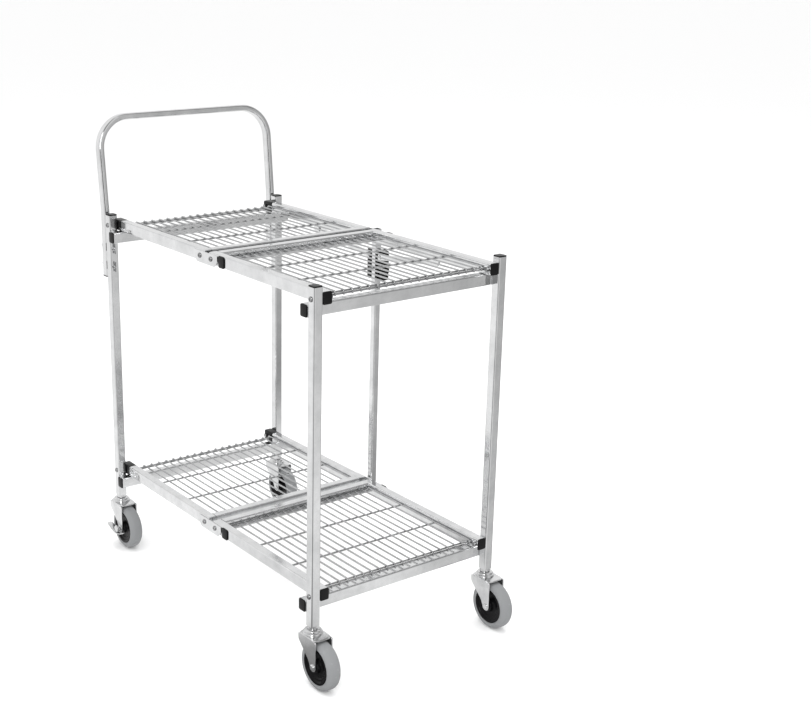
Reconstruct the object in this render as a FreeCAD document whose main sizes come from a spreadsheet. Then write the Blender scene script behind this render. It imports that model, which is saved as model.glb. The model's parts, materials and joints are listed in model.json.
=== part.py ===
"""Folding shelf trolley: two wire shelves that hinge in the middle, two leg frames, four casters.

The frame stands on Z = 0. X runs along the trolley, with the push handle at the negative end.
Y runs across it, and the side with the folding latch is the positive one.
"""
import FreeCAD, Part
import math
import os
import re

import Sketcher

# Every size that can be set by itself, in millimetres.
SIZES = {
    "track": 440,             # leg centre to leg centre, across
    "half_span": 370,         # leg pivot to middle hinge pivot, for each half shelf
    "hinge_pitch": 42,        # the two pivots of a middle hinge
    "leg_top": 787,           # top end of the leg tubes
    "leg_foot": 122,          # bottom end of the leg tubes
    "upper_level": 765,       # pivot height of the upper shelf
    "lower_level": 184,       # pivot height of the lower shelf
    "tube": 20,               # side of the legs, and width of every other tube
    "bar_height": 24,         # height of rails, crossbars and hinge tubes
    "rail_overhang": 7,       # rail end past the leg pivot
    "tube_wall": 1.5,
    "tube_round": 3,          # outer corner radius of the tube
    "body_gap": 0.5,          # air between faces that slide past each other
    "pin_gap": 0.05,          # radial running clearance
    "cap_depth": 2.5,         # visible thickness of a plastic end cap
    "plug_depth": 12,         # how far a cap reaches into its tube
    "plug_gap": 0.1,
    "bolt_radius": 3,
    "head_radius": 5.5,
    "head_depth": 3,
    "nut_radius": 5.2,
    "nut_depth": 4.5,
    "wire_radius": 1.75,      # long wires of the shelf
    "cross_radius": 2,        # cross wires under them
    "wire_pitch": 19.6,
    "weld_sink": 0.6,         # how far two welded wires sink into each other
    "wire_setback": 12,       # wire ends short of the leg pivot
    "deck_drop": 7,           # wire tops below the rails' tops
    "hinge_tube_inset": 13,   # how far the hinge tube passes the hinge pivot
    "pivot_block": 36,        # length of the plastic rail end at the handle side
    "clip_offset": 37,        # hinge pivot to the middle of the plastic bumper
    "clip_length": 20,
    "clip_depth": 2.5,
    "plate_depth": 3,         # middle hinge plate
    "plate_reach": 24,        # plate end beyond its pivot
    "plate_rise": 10,
    "plate_drop": 14,
    "bar_side": 16,           # upright bar that joins the two hinges
    "bar_rise": 9,            # bar end above the upper pivots
    "link_reach": 190,        # hinge pivot to link pivot, along the shelf
    "lug_drop": 25,           # link pivot below the shelf rail's middle
    "link_depth": 3,
    "link_width": 12,
    "link_eye": 7,
    "lug_width": 18,
    "collar_reach": 27,       # half width of the sliding collar
    "collar_rise": 12,
    "collar_drop": 52,
    "collar_wall": 6,
    "slide_gap": 0.4,
    "knob_radius": 13,
    "knob_depth": 14,
    "knob_stem": 4,
    "handle_rise": 215,       # top of the handle above the leg tops
    "handle_end": 26,         # handle end below its lower bolt
    "handle_depth": 22,       # handle tube, along X
    "handle_width": 14,       # handle tube, across
    "handle_round": 5,
    "handle_wall": 1.5,
    "handle_bend": 70,        # bend radius at the tube's middle
    "handle_lean": 6,         # degrees that the upper part leans back
    "handle_ease": 60,        # radius of the bend where the lean starts
    "spacer": 7,              # block between handle and leg
    "spacer_side": 18,
    "handle_bolt_drop": 15.5, # upper bolt below the upper crossbar
    "handle_bolt_pitch": 41,
    "wing_reach": 11,
    "wheel_radius": 50,
    "tyre_width": 30,
    "core_radius": 37,
    "core_width": 34,
    "web_width": 16,
    "hub_radius": 13,
    "trail": 28,              # caster swivel axis to wheel axle
    "axle_radius": 4,
    "fork_gap": 36,
    "fork_wall": 2.5,
    "fork_tip": 9,
    "fork_back": 20,
    "fork_top": 107,
    "fork_eye_drop": 14,
    "housing_radius": 20,
    "housing_neck": 13,
    "housing_depth": 9,
    "stem_radius": 5,
    "stem_length": 46,
    "stem_head": 9,
    "socket_depth": 30,
    "foot_lip": 0.5,          # how far the leg's foot ring stands out
    "pedal_width": 14,
    "pedal_reach": 40,
    "pedal_rise": 12,
    "pedal_wall": 2.5,
}
OVERSHOOT = 1                 # extra length of every cutting tool at an open face
FRONT, REAR = 1, -1           # sign of X
LEFT, RIGHT = 1, -1           # sign of Y
AXES = {"x": FreeCAD.Vector(1, 0, 0), "y": FreeCAD.Vector(0, 1, 0), "z": FreeCAD.Vector(0, 0, 1)}

doc = FreeCAD.newDocument("folding_trolley")
sheet = doc.addObject("Spreadsheet::Sheet", "Sheet")
for row, (alias, value) in enumerate(SIZES.items(), start=1):
    sheet.set(f"A{row}", alias)
    sheet.set(f"B{row}", str(value))
    sheet.setAlias(f"B{row}", alias)
doc.recompute()

ALIAS = re.compile(r"\b(" + "|".join(sorted(SIZES, key=len, reverse=True)) + r")\b")
nodes = {}


def size(alias):
    """The sheet's value for one alias."""
    return float(sheet.get(alias))


def bind(thing, **formulas):
    """Ties properties of an object to formulas in the sheet's aliases."""
    for name, formula in formulas.items():
        thing.setExpression(name.replace("__", "."), ALIAS.sub(r"Sheet.\1", str(formula)))
    return thing


def place(thing, at):
    bind(thing, Placement__Base__x=at[0], Placement__Base__y=at[1], Placement__Base__z=at[2])
    return thing


def block(name, lengths, middle):
    """A box given by its three sides and its middle."""
    box = doc.addObject("Part::Box", name)
    bind(box, Length=lengths[0], Width=lengths[1], Height=lengths[2])
    return place(box, [f"({m}) - ({side}) / 2" for m, side in zip(middle, lengths)])


def rod(name, axis, radius, length, middle):
    """A round bar given by its axis, radius, length and middle."""
    bar = doc.addObject("Part::Cylinder", name)
    bar.Placement.Rotation = FreeCAD.Rotation(AXES["z"], AXES[axis])
    bind(bar, Radius=radius, Height=length)
    start = list(middle)
    along = "xyz".index(axis)
    start[along] = f"({middle[along]}) - ({length}) / 2"
    return place(bar, start)


def cut(name, base, tools):
    result = doc.addObject("Part::Cut", name)
    result.Base = base
    result.Tool = tools[0] if len(tools) == 1 else fuse(name + "_tools", tools)
    return result


def fuse(name, pieces):
    result = doc.addObject("Part::MultiFuse", name)
    result.Shapes = pieces
    return result


def group(name, pieces):
    """Separate solids that share one node."""
    result = doc.addObject("Part::Compound", name)
    result.Links = pieces
    return result


def keep(node, thing):
    """Marks an object as a sub-part, and shifts it so that the origin is under the trolley's middle."""
    own = {name.lstrip("."): formula for name, formula in thing.ExpressionEngine}
    start = own.get("Placement.Base.x", "0")
    thing.setExpression("Placement.Base.x", f"{start} + " + ALIAS.sub(r"Sheet.\1", MIDDLE_SHIFT))
    thing.Label = node
    nodes[node] = thing
    return thing


def rounded(name, thing, radius, picks):
    """Rounds the edges that picks() accepts."""
    thing.recompute()
    doc.recompute()
    smooth = doc.addObject("Part::Fillet", name)
    smooth.Base = thing
    found = enumerate(thing.Shape.Edges, start=1)
    smooth.Edges = [(i, radius, radius) for i, edge in found if picks(edge)]
    return smooth


def runs_along(axis):
    """Accepts straight edges parallel to an axis."""
    def picks(edge):
        if not isinstance(edge.Curve, Part.Line):
            return False
        return abs(edge.tangentAt(edge.FirstParameter).dot(AXES[axis])) > 0.99
    return picks


def section(axis, length, shrink="0"):
    """The three sides of a tube's section, with its length along one axis. Level tubes are taller."""
    height = "tube" if axis == "z" else "bar_height"
    sides = [f"tube - 2 * ({shrink})", f"tube - 2 * ({shrink})", f"{height} - 2 * ({shrink})"]
    sides["xyz".index(axis)] = length
    return sides


def solid_bar(name, axis, length, middle):
    """A solid bar with the tube's outer section."""
    blank = block(name + "_block", section(axis, length), middle)
    return rounded(name, blank, size("tube_round"), runs_along(axis))


def tube(name, axis, length, middle):
    """A tube with rounded corners, open at both ends."""
    bore = section(axis, f"{length} + {2 * OVERSHOOT}", "tube_wall")
    return cut(name, solid_bar(name + "_outer", axis, length, middle), [block(name + "_bore", bore, middle)])


def cap(name, axis, sign, face):
    """A plastic end cap: a flat head on the tube's end face and a plug inside the tube."""
    along = "xyz".index(axis)
    head, plug = list(face), list(face)
    head[along] = f"({face[along]}) + {sign} * cap_depth / 2"
    plug[along] = f"({face[along]}) - {sign} * plug_depth / 2"
    core = block(name + "_plug", section(axis, "plug_depth", "tube_wall + plug_gap"), plug)
    return fuse(name, [solid_bar(name + "_head", axis, "cap_depth", head), core])


def outline(sketch, points):
    """A closed outline whose corners are each tied to two formulas."""
    count = len(points)
    ring = [FreeCAD.Vector(10 * math.cos(2 * math.pi * i / count), 10 * math.sin(2 * math.pi * i / count), 0)
            for i in range(count)]
    first = sketch.GeometryCount
    for i in range(count):
        sketch.addGeometry(Part.LineSegment(ring[i], ring[(i + 1) % count]), False)
    for i in range(count):
        following = first + (i + 1) % count
        sketch.addConstraint(Sketcher.Constraint("Coincident", first + i, 2, following, 1))
    for i, corner in enumerate(points):
        for kind, start, formula in zip(("DistanceX", "DistanceY"), ring[i], corner):
            index = sketch.addConstraint(Sketcher.Constraint(kind, -1, 1, first + i, 1, start))
            bind(sketch, **{f"Constraints[{index}]": formula})


def origin_plane(body, role):
    return next(plane for plane in body.Origin.OriginFeatures if plane.Role == role)


def body_with_outline(name, role, points):
    body = doc.addObject("PartDesign::Body", name)
    sketch = body.newObject("Sketcher::SketchObject", name + "_outline")
    sketch.AttachmentSupport = (origin_plane(body, role), [""])
    sketch.MapMode = "FlatFace"
    outline(sketch, points)
    return body, sketch


def plate(name, points, depth, at):
    """A flat plate with its outline in the XZ plane. It is centred on at[1]."""
    body, sketch = body_with_outline(name, "XZ_Plane", points)
    pad = body.newObject("PartDesign::Pad", name + "_pad")
    pad.Profile = sketch
    pad.Midplane = True
    bind(pad, Length=depth)
    return place(body, at)


def turned(name, points, at):
    """A solid of revolution about Y. Its outline is (radius, Y) pairs."""
    body, sketch = body_with_outline(name, "XY_Plane", points)
    spin = body.newObject("PartDesign::Revolution", name + "_spin")
    spin.Profile = sketch
    spin.ReferenceAxis = (sketch, ["V_Axis"])
    spin.Angle = 360
    return place(body, at)


# Places that several pieces share.
LEG_X = "(half_span + hinge_pitch / 2)"
HINGE_X = "(hinge_pitch / 2)"
LEG_Y = "(track / 2)"
RAIL_Y = "(track / 2 - tube - body_gap)"
RAIL_FACE_Y = "(track / 2 - tube / 2 - body_gap)"
PLATE_Y = "(track / 2 - tube / 2 + plate_depth / 2)"
PLATE_FACE_Y = "(track / 2 - tube / 2 + plate_depth)"
SECTION_RISE = ("((handle_depth / 2 - handle_round) * sin(handle_lean)"
                " + (handle_width / 2 - handle_round) * cos(handle_lean) + handle_round)")
SWING_OUT = ("(handle_ease * (1 - cos(handle_lean))"
             f" + (handle_rise - handle_ease * sin(handle_lean) - {SECTION_RISE}) * tan(handle_lean))")
SECTION_REACH = ("((handle_depth / 2 - handle_round) * cos(handle_lean)"
                 " + (handle_width / 2 - handle_round) * sin(handle_lean) + handle_round)")
BACK_END = f"({LEG_X} + tube / 2 + spacer + handle_depth / 2 + {SWING_OUT} + {SECTION_REACH})"
FRONT_END = f"({LEG_X} + trail + wheel_radius)"
MIDDLE_SHIFT = f"({BACK_END} - {FRONT_END}) / 2"
LEVELS = {"upper": "upper_level", "lower": "lower_level"}
ENDS = {"rear": REAR, "front": FRONT}
SIDES = {"left": LEFT, "right": RIGHT}


def bolt(name, sign, shank, face, with_nut):
    """A bolt along Y. Its head sits on a face that looks to the side given by sign."""
    x, y, z = face
    head = rod(name + "_head", "y", "head_radius", "head_depth", (x, f"{sign} * ({y} + head_depth / 2)", z))
    body = rod(name + "_shank", "y", "bolt_radius", shank, (x, f"{sign} * ({y} - ({shank}) / 2)", z))
    pieces = [fuse(name, [head, body])]
    if with_nut:
        middle = (x, f"{sign} * ({y} - ({shank}) + nut_depth / 2)", z)
        blank = rod(name + "_nut_blank", "y", "nut_radius", "nut_depth", middle)
        thread = rod(name + "_thread", "y", "bolt_radius", f"nut_depth + {2 * OVERSHOOT}", middle)
        pieces.append(cut(name + "_nut", blank, [thread]))
    return pieces


def bore_along_y(name, sign, x, z):
    """The tool for one running hole through a tube on the side given by sign."""
    middle_y = f"{sign} * (track / 2 - tube / 2)"
    return rod(name, "y", "bolt_radius + pin_gap", "3 * tube", (x, middle_y, z))


def handle_bolt_level(i):
    """Height of a handle bolt. The upper one stays clear of the upper crossbar's lower edge."""
    return f"(upper_level - 1.5 * bar_height - body_gap - handle_bolt_drop - {i} * handle_bolt_pitch)"


def handle_tail():
    """How far the handle's lower end is below the leg tops."""
    to_crossbar = size("leg_top") - size("upper_level") + 1.5 * size("bar_height") + size("body_gap")
    return to_crossbar + size("handle_bolt_drop") + size("handle_bolt_pitch") + size("handle_end")


# Leg frames: two legs, two crossbars, plastic caps, pivot bolts and caster stems at each end.
def leg(end, side):
    name = f"{end}_leg_{side}"
    x, y = f"{ENDS[end]} * {LEG_X}", f"{SIDES[side]} * {LEG_Y}"
    raw = tube(name + "_tube", "z", "leg_top - leg_foot", (x, y, "(leg_top + leg_foot) / 2"))
    tools = [bore_along_y(f"{name}_{level}_bore", SIDES[side], x, z) for level, z in LEVELS.items()]
    if end == "rear":
        for i in range(2):
            z = handle_bolt_level(i)
            tools.append(rod(f"{name}_handle_bore_{i}", "x", "bolt_radius + pin_gap", "2 * tube", (x, y, z)))
    keep(name, cut(name, raw, tools))


def leg_frame(end):
    sign = ENDS[end]
    caps, bolts, stems = [], [], []
    bar_x = f"{sign} * ({LEG_X} - tube)"
    for level, z in LEVELS.items():
        bar_z = f"{z} - bar_height - body_gap"
        name = f"{end}_{level}_crossbar"
        keep(name, tube(name, "y", "track + tube", (bar_x, "0", bar_z)))
        for side, hand in SIDES.items():
            caps.append(cap(f"{name}_{side}_cap", "y", hand, [bar_x, f"{hand} * (track + tube) / 2", bar_z]))
            shank = "2 * tube + body_gap + nut_depth + 1"
            face = (f"{sign} * {LEG_X}", f"({LEG_Y} + tube / 2)", z)
            bolts += bolt(f"{end}_{level}_{side}_pivot", hand, shank, face, with_nut=True)
    for side, hand in SIDES.items():
        leg(end, side)
        spot = [f"{sign} * {LEG_X}", f"{hand} * {LEG_Y}"]
        caps.append(cap(f"{end}_{side}_leg_cap", "z", 1, spot + ["leg_top"]))
        stems.append(caster_stem(f"{end}_{side}_stem", spot))
    keep(f"{end}_caps", group(f"{end}_caps", caps))
    keep(f"{end}_pivot_bolts", group(f"{end}_pivot_bolts", bolts))
    keep(f"{end}_caster_stems", group(f"{end}_caster_stems", stems))


def caster_stem(name, spot):
    """The caster's kingpin, its rivet head and the socket that holds it in the leg."""
    head_depth = "(fork_wall + 1)"
    head_z = f"fork_top - fork_wall - body_gap - {head_depth} / 2"
    head = rod(name + "_head", "z", "stem_head", head_depth, spot + [head_z])
    pin_low = "fork_top - fork_wall - body_gap - 1"
    pin = rod(name + "_pin", "z", "stem_radius", "stem_length", spot + [f"{pin_low} + stem_length / 2"])
    side = "tube - 2 * tube_wall - 2 * plug_gap"
    socket = block(name + "_socket", (side, side, "socket_depth"), spot + ["leg_foot + socket_depth / 2"])
    foot_depth = "(leg_foot - fork_top - housing_depth - body_gap)"
    collar = rod(name + "_foot", "z", "tube / 2 + foot_lip", foot_depth, spot + [f"leg_foot - {foot_depth} / 2"])
    return fuse(name, [head, pin, socket, collar])


# Half shelves: a welded frame of two rails and a hinge tube, a wire deck, and plastic ends.
def half_shelf(level, end):
    sign, z = ENDS[end], LEVELS[level]
    name = f"{level}_{end}_shelf"
    rail_in = "(hinge_pitch / 2 - tube / 2)"
    rail_out = f"({LEG_X} + rail_overhang)"
    if end == "rear":
        rail_out = f"({LEG_X} + rail_overhang + cap_depth - pivot_block)"
    pieces, plastic, tools = [], [], []
    for side, hand in SIDES.items():
        y = f"{hand} * {RAIL_Y}"
        middle = f"{sign} * ({rail_in} + {rail_out}) / 2"
        pieces.append(tube(f"{name}_{side}_rail", "x", f"{rail_out} - {rail_in}", (middle, y, z)))
        tools.append(bore_along_y(f"{name}_{side}_hinge_bore", hand, f"{sign} * {HINGE_X}", z))
        plastic.append(cap(f"{name}_{side}_hinge_cap", "x", -sign, [f"{sign} * {rail_in}", y, z]))
        plastic[-1] = cut(f"{name}_{side}_hinge_cap_bored", plastic[-1],
                          [rod(f"{name}_{side}_cap_bore", "y", "nut_radius + body_gap", "2 * tube",
                               (f"{sign} * {HINGE_X}", y, z))])
        leg_bore = bore_along_y(f"{name}_{side}_leg_bore", hand, f"{sign} * {LEG_X}", z)
        if end == "rear":
            plastic.append(cut(f"{name}_{side}_pivot_end", pivot_end(f"{name}_{side}_block", sign, y, z), [leg_bore]))
        else:
            tools.append(leg_bore)
            end_cap = cap(f"{name}_{side}_end_cap", "x", sign, [f"{sign} * {rail_out}", y, z])
            clear = bore_along_y(f"{name}_{side}_end_cap_bore", hand, f"{sign} * {LEG_X}", z)
            plastic.append(cut(f"{name}_{side}_end_cap_bored", end_cap, [clear]))
            clip_y = f"{hand} * ({RAIL_FACE_Y} + clip_depth / 2)"
            plastic.append(block(f"{name}_{side}_bumper", ("clip_length", "clip_depth", "bar_height"),
                                 (f"{sign} * ({HINGE_X} + clip_offset)", clip_y, z)))
    hinge_tube_x = f"{sign} * ({HINGE_X} + tube / 2 - hinge_tube_inset)"
    pieces.append(tube(f"{name}_hinge_tube", "y", f"2 * {RAIL_Y} - tube", (hinge_tube_x, "0", z)))
    if level == "upper":
        lug = lug_plate(f"{name}_lug", sign, z)
        pieces.append(lug)
        tools.append(rod(f"{name}_lug_bore", "y", "bolt_radius", "tube",
                         (f"{sign} * ({HINGE_X} + link_reach)", RAIL_FACE_Y, f"{z} - lug_drop")))
    keep(f"{name}_frame", cut(f"{name}_frame", fuse(f"{name}_weldment", pieces), tools))
    keep(f"{name}_plastics", group(f"{name}_plastics", plastic))
    keep(f"{name}_wires", wire_deck(f"{name}_wires", sign, z))


def pivot_end(name, sign, y, z):
    """The plastic end of a rail at the handle side: a full-size block and a plug in the rail."""
    outer = f"({LEG_X} + rail_overhang + cap_depth)"
    joint = f"({outer} - pivot_block)"
    head = solid_bar(name + "_head", "x", "pivot_block", (f"{sign} * ({outer} + {joint}) / 2", y, z))
    sides = section("x", "plug_depth", "tube_wall + plug_gap")
    plug = block(name + "_plug", sides, (f"{sign} * ({joint} - plug_depth / 2)", y, z))
    return fuse(name, [head, plug])


def lug_plate(name, sign, z):
    """A flat ear on the outer face of the left-hand rail that carries one folding link."""
    x, half, top = f"{sign} * ({HINGE_X} + link_reach)", "lug_width / 2", "bar_height / 2 - tube_round"
    strip = block(name + "_strip", ("lug_width", "plate_depth", f"{top} + lug_drop"),
                  (x, f"{RAIL_FACE_Y} + plate_depth / 2", f"{z} + ({top} - lug_drop) / 2"))
    eye = rod(name + "_eye", "y", half, "plate_depth", (x, f"{RAIL_FACE_Y} + plate_depth / 2", f"{z} - lug_drop"))
    return fuse(name, [strip, eye])


def wire_deck(name, sign, z):
    """Long wires along X between the rails, welded on top of cross wires that end at the rails."""
    inner, outer = f"({HINGE_X} - hinge_tube_inset + tube)", f"({LEG_X} - wire_setback)"
    room = size("track") - 2 * size("body_gap") - 3 * size("tube") - 2 * size("wire_radius")
    count = int(room / size("wire_pitch")) + 1
    wire_z = f"({z} + bar_height / 2 - deck_drop - wire_radius)"
    cross_z = f"({wire_z} - wire_radius - cross_radius + weld_sink)"
    pieces = []
    for i in range(count):
        y = f"({i} - {(count - 1) / 2}) * wire_pitch"
        pieces.append(rod(f"{name}_long_{i}", "x", "wire_radius", f"{outer} - {inner}",
                          (f"{sign} * ({inner} + {outer}) / 2", y, wire_z)))
    spaces = 3
    for i in range(spaces + 1):
        x = f"{sign} * ({inner} + cross_radius + {i} * ({outer} - {inner} - 2 * cross_radius) / {spaces})"
        pieces.append(rod(f"{name}_cross_{i}", "y", "cross_radius", f"2 * {RAIL_Y} - tube", (x, "0", cross_z)))
    return fuse(name, pieces)


# Middle hinges: plates on the outer faces of the rails, each with a pivot for either half.
def hinge_plate(name, hand, z):
    reach = f"({HINGE_X} + plate_reach)"
    slope = "(plate_rise + plate_drop) / 2"
    points = [(f"-{reach}", "plate_rise"), (reach, "plate_rise"), (reach, f"plate_rise - {slope}"),
              (f"{reach} - {slope}", "-plate_drop"), (f"{slope} - {reach}", "-plate_drop"),
              (f"-{reach}", f"plate_rise - {slope}")]
    blank = plate(name + "_blank", points, "plate_depth", ("0", f"{hand} * {PLATE_Y}", z))
    bores = [bore_along_y(f"{name}_bore_{i}", hand, f"{sign} * {HINGE_X}", z) for i, sign in enumerate((REAR, FRONT))]
    keep(name, cut(name, blank, bores))


def hinge_bolts(name, hand, z):
    shank = "plate_depth + body_gap + tube - tube_wall - 2 * body_gap"
    pieces = []
    for i, sign in enumerate((REAR, FRONT)):
        pieces += bolt(f"{name}_{i}", hand, shank, (f"{sign} * {HINGE_X}", PLATE_FACE_Y, z), with_nut=True)
    return pieces


def middle_hinges():
    bar_bolts = []
    for level, z in LEVELS.items():
        for side, hand in SIDES.items():
            hinge_plate(f"{level}_hinge_plate_{side}", hand, z)
            bolts = hinge_bolts(f"{level}_{side}_hinge_bolt", hand, z)
            if side == "left":
                bar_bolts += bolts
            else:
                keep(f"{level}_hinge_bolts_right", group(f"{level}_hinge_bolts_right", bolts))
    keep("hinge_bolts_left", group("hinge_bolts_left", bar_bolts))


# Folding latch: an upright bar, a collar that slides on it, two links and a pull knob.
BAR_Y = f"({PLATE_FACE_Y} + bar_side / 2)"
BAR_FACE_Y = f"({PLATE_FACE_Y} + bar_side)"
LINK_Y = f"({RAIL_FACE_Y} + plate_depth + body_gap + link_depth / 2)"
LINK_FACE_Y = f"({RAIL_FACE_Y} + plate_depth + body_gap + link_depth)"
PIN_Z = "(upper_level - 2 * lug_drop)"


def upright_bar():
    low, high = "(lower_level - plate_drop)", "(upper_level + bar_rise)"
    middle = ("0", BAR_Y, f"({low} + {high}) / 2")
    outer = block("bar_outer", ("bar_side", "bar_side", f"{high} - {low}"), middle)
    smooth = rounded("bar_smooth", outer, size("tube_round"), runs_along("z"))
    side = "bar_side - 2 * tube_wall"
    keep("latch_bar", cut("latch_bar", smooth, [block("bar_bore", (side, side, f"{high} - {low} + 2"), middle)]))


def link(end):
    """A flat link from the collar's pin up to the lug of one half shelf."""
    sign = ENDS[end]
    name = f"{end}_link"
    pin = (f"{sign} * {HINGE_X}", LINK_Y, PIN_Z)
    lug = (f"{sign} * ({HINGE_X} + link_reach)", LINK_Y, "upper_level - lug_drop")
    reach = "sqrt(link_reach ^ 2 + lug_drop ^ 2)"
    strip = doc.addObject("Part::Box", name + "_strip")
    strip.Placement.Rotation = FreeCAD.Rotation(AXES["y"], 0)
    bind(strip, Length=reach, Width="link_depth", Height="link_width")
    slope = "atan(lug_drop / link_reach)"
    angle = slope if sign == REAR else f"-{slope}"
    bind(strip, Placement__Rotation__Angle=angle)
    if sign == FRONT:
        low_x = f"{HINGE_X} + link_width / 2 * sin({slope})"
        low_z = f"{PIN_Z} - link_width / 2 * cos({slope})"
    else:
        low_x = f"-{HINGE_X} - link_reach - link_width / 2 * sin({slope})"
        low_z = f"upper_level - lug_drop - link_width / 2 * cos({slope})"
    place(strip, (low_x, f"{LINK_Y} - link_depth / 2", low_z))
    eyes = [rod(f"{name}_eye_{i}", "y", "link_eye", "link_depth", spot) for i, spot in enumerate((pin, lug))]
    tools = [rod(f"{name}_bore_{i}", "y", "bolt_radius + pin_gap", "2 * link_depth", spot)
             for i, spot in enumerate((pin, lug))]
    keep(name, cut(name, fuse(name + "_blank", [strip] + eyes), tools))
    shank_from = f"({RAIL_FACE_Y})"
    head_at = f"({LINK_FACE_Y} + body_gap)"
    shank = rod(name + "_rivet_shank", "y", "bolt_radius", f"{head_at} - {shank_from}",
                (lug[0], f"({head_at} + {shank_from}) / 2", lug[2]))
    head = rod(name + "_rivet_head", "y", "head_radius", "head_depth - 1",
               (lug[0], f"{head_at} + (head_depth - 1) / 2", lug[2]))
    keep(f"{end}_link_rivet", fuse(f"{end}_link_rivet", [shank, head]))


def collar():
    """The sliding collar: a plastic block round the bar with a pin for each link on its inner side."""
    face = f"({LINK_FACE_Y} + body_gap)"
    outer = f"({BAR_FACE_Y} + slide_gap + collar_wall)"
    low, high = f"({PIN_Z} - collar_drop)", f"({PIN_Z} + collar_rise)"
    middle_z = f"({low} + {high}) / 2"
    front = block("collar_front", ("2 * collar_reach", f"{outer} - {face}", f"{high} - {low}"),
                  ("0", f"({outer} + {face}) / 2", middle_z))
    smooth = rounded("collar_smooth", front, size("tube_round"), runs_along("y"))
    back = f"({PLATE_FACE_Y} - slide_gap - 2)"
    wrap_half = f"({HINGE_X} - link_eye - body_gap)"
    wrap = block("collar_wrap", (f"2 * {wrap_half}", f"{face} - {back} + 1", f"{high} - {low}"),
                 ("0", f"({face} + 1 + {back}) / 2", middle_z))
    slide = "bar_side + 2 * slide_gap"
    bore = block("collar_bore", (slide, slide, f"{high} - {low} + 2"), ("0", BAR_Y, middle_z))
    knob_z = f"({low} + knob_radius + 4)"
    knob_bore = rod("collar_knob_bore", "y", "knob_stem + pin_gap", "4 * collar_wall", ("0", outer, knob_z))
    keep("latch_collar", cut("latch_collar", fuse("collar_blank", [smooth, wrap]), [bore, knob_bore]))
    pins = []
    for i, sign in enumerate((REAR, FRONT)):
        x = f"{sign} * {HINGE_X}"
        inner = f"({RAIL_FACE_Y} + plate_depth)"
        shank = rod(f"pin_{i}_shank", "y", "bolt_radius", f"{face} - {inner}", (x, f"({face} + {inner}) / 2", PIN_Z))
        head = rod(f"pin_{i}_head", "y", "head_radius - 1", "head_depth / 2",
                   (x, f"{inner} - head_depth / 4", PIN_Z))
        pins.append(fuse(f"pin_{i}", [shank, head]))
    keep("collar_pins", group("collar_pins", pins))
    grip_from = f"({outer} + body_gap)"
    grip = rod("knob_grip", "y", "knob_radius", "knob_depth", ("0", f"{grip_from} + knob_depth / 2", knob_z))
    grip.recompute()
    smooth_grip = rounded("knob_smooth", grip, size("tube_round"),
                          lambda edge: isinstance(edge.Curve, Part.Circle))
    stem_from = f"({BAR_FACE_Y} + 2 * slide_gap)"
    stem = rod("knob_shaft", "y", "knob_stem", f"{grip_from} - {stem_from} + 1",
               ("0", f"({grip_from} + 1 + {stem_from}) / 2", knob_z))
    keep("latch_knob", fuse("latch_knob", [smooth_grip, stem]))


# Push handle: a flat-sided tube bent to a U, bolted behind the rear legs.
def handle_section(grow):
    """The tube's section in the XY plane, as a wire round the origin."""
    half_x = size("handle_depth") / 2 - grow
    half_y = size("handle_width") / 2 - grow
    corner = size("handle_round") - grow
    slab = Part.makeBox(2 * half_x, 2 * half_y, 1, FreeCAD.Vector(-half_x, -half_y, 0))
    tall = [edge for edge in slab.Edges if abs(edge.tangentAt(edge.FirstParameter).z) > 0.99]
    solid = slab.makeFillet(corner, tall)
    return next(face for face in solid.Faces if face.normalAt(0, 0).z < -0.99).OuterWire


def handle_solid(grow):
    """The tube's outer or inner solid: straight tails, a slight bend back, and a U above it."""
    half, bend, ease = size("track") / 2, size("handle_bend"), size("handle_ease")
    lean = size("handle_lean")
    tail = handle_tail() + (OVERSHOOT if grow else 0)
    face = Part.Face(handle_section(grow))
    climb = handle_climb()
    leaning = []
    for hand in (LEFT, RIGHT):
        foot = face.copy()
        foot.translate(FreeCAD.Vector(0, hand * half, 0))
        leaning.append(foot.extrude(FreeCAD.Vector(0, 0, climb - bend)))
        corner = foot.copy()
        corner.translate(FreeCAD.Vector(0, 0, climb - bend))
        centre = FreeCAD.Vector(0, hand * (half - bend), climb - bend)
        leaning.append(corner.revolve(centre, AXES["x"] * hand, 90))
    across = face.copy()
    across.rotate(FreeCAD.Vector(0, 0, 0), AXES["x"], 90)
    across.translate(FreeCAD.Vector(0, half - bend, climb))
    leaning.append(across.extrude(FreeCAD.Vector(0, 2 * (bend - half), 0)))
    turn = math.radians(lean)
    pieces = []
    for piece in leaning:
        piece.rotate(FreeCAD.Vector(0, 0, 0), AXES["y"], -lean)
        piece.translate(FreeCAD.Vector(ease * (math.cos(turn) - 1), 0, ease * math.sin(turn)))
        pieces.append(piece)
    for hand in (LEFT, RIGHT):
        foot = face.copy()
        foot.translate(FreeCAD.Vector(0, hand * half, 0))
        pieces.append(foot.revolve(FreeCAD.Vector(-ease, 0, 0), -AXES["y"], lean))
        pieces.append(foot.extrude(FreeCAD.Vector(0, 0, -tail)))
    return pieces[0].fuse(pieces[1:]).removeSplitter()


def handle_climb():
    """Length of the leaning part, up to the middle of the top bar, that gives the handle its height."""
    lean, corner = math.radians(size("handle_lean")), size("handle_round")
    over = (size("handle_depth") / 2 - corner) * math.sin(lean)
    over += (size("handle_width") / 2 - corner) * math.cos(lean) + corner
    return (size("handle_rise") - size("handle_ease") * math.sin(lean) - over) / math.cos(lean)


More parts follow.
